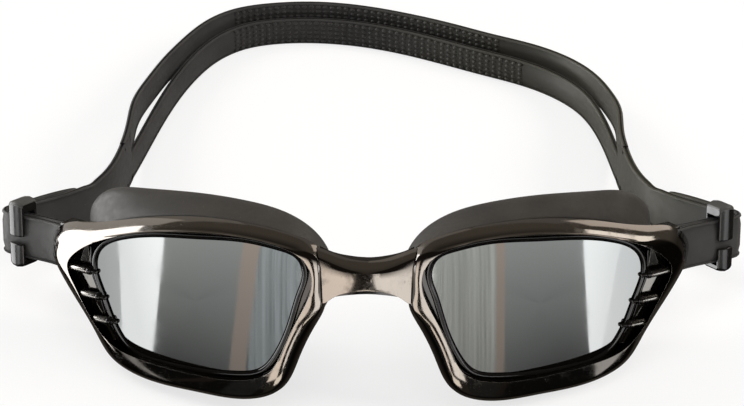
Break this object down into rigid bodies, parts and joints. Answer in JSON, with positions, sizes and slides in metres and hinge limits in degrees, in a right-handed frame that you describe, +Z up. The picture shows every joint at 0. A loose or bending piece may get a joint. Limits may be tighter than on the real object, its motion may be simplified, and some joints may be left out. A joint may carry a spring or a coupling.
{
  "type": "swim goggles",
  "caption": "Swim goggles with wrap-round mirrored lenses in plated covers, silicone gaskets, a nose bridge and a split silicone head strap with keeper clips.",
  "frame": {"origin": "middle of the bounding box in X and Y, on the table that the goggles stand on", "axes": "+X towards the wearer's left, +Y from the lenses to the back of the head strap, +Z up"},
  "size_m": [0.1894, 0.1793, 0.0455],
  "materials": {
    "plated_cover": "dark nickel plated ABS, gloss, fine handling scratches",
    "lens": "smoke polycarbonate with a silver mirror coating",
    "eyecup": "gloss black polycarbonate",
    "gasket": "matte black silicone, moulded",
    "strap": "matte charcoal silicone, moulded",
    "clip": "gloss black acetal",
    "bar": "black nylon rod",
    "gill": "gloss black plastic with plated ribs"
  },
  "bodies": {
    "frame_unit": {"left_lens": "lens", "left_fascia": "plated_cover", "left_eyecup": "eyecup", "left_gasket": "gasket", "left_gill_trim": "gill", "left_strap_bar": "bar", "left_strap_end": "strap", "right_lens": "lens", "right_fascia": "plated_cover", "right_eyecup": "eyecup", "right_gasket": "gasket", "right_gill_trim": "gill", "right_strap_bar": "bar", "right_strap_end": "strap", "nose_bridge": "plated_cover", "nose_bridge_core": "eyecup"},
    "left_clip": {"left_strap_clip": "clip"},
    "right_clip": {"right_strap_clip": "clip"},
    "strap_loop": {"strap": "strap", "left_strap_tail": "strap", "right_strap_tail": "strap"},
    "upper_strand": {"strap_upper_band": "strap"}
  },
  "joints": [
    {"name": "left_clip_slide", "type": "slide", "parent": "frame_unit", "child": "left_clip", "axis": [0.8387, 0.5208, -0.1592], "range_m": [-0.01, 0.0015]},
    {"name": "right_clip_slide", "type": "slide", "parent": "frame_unit", "child": "right_clip", "axis": [-0.8387, 0.5208, -0.1592], "range_m": [-0.01, 0.0015]},
    {"name": "strap_swing", "type": "hinge", "parent": "frame_unit", "child": "strap_loop", "pos_m": [0, -0.0268, 0.0153], "axis": [1, 0, 0], "range_deg": [-35, 75]},
    {"name": "upper_strand_spread", "type": "hinge", "parent": "strap_loop", "child": "upper_strand", "pos_m": [0, 0.0085, 0.0199], "axis": [1, 0, 0], "range_deg": [0, 35]}
  ]
}
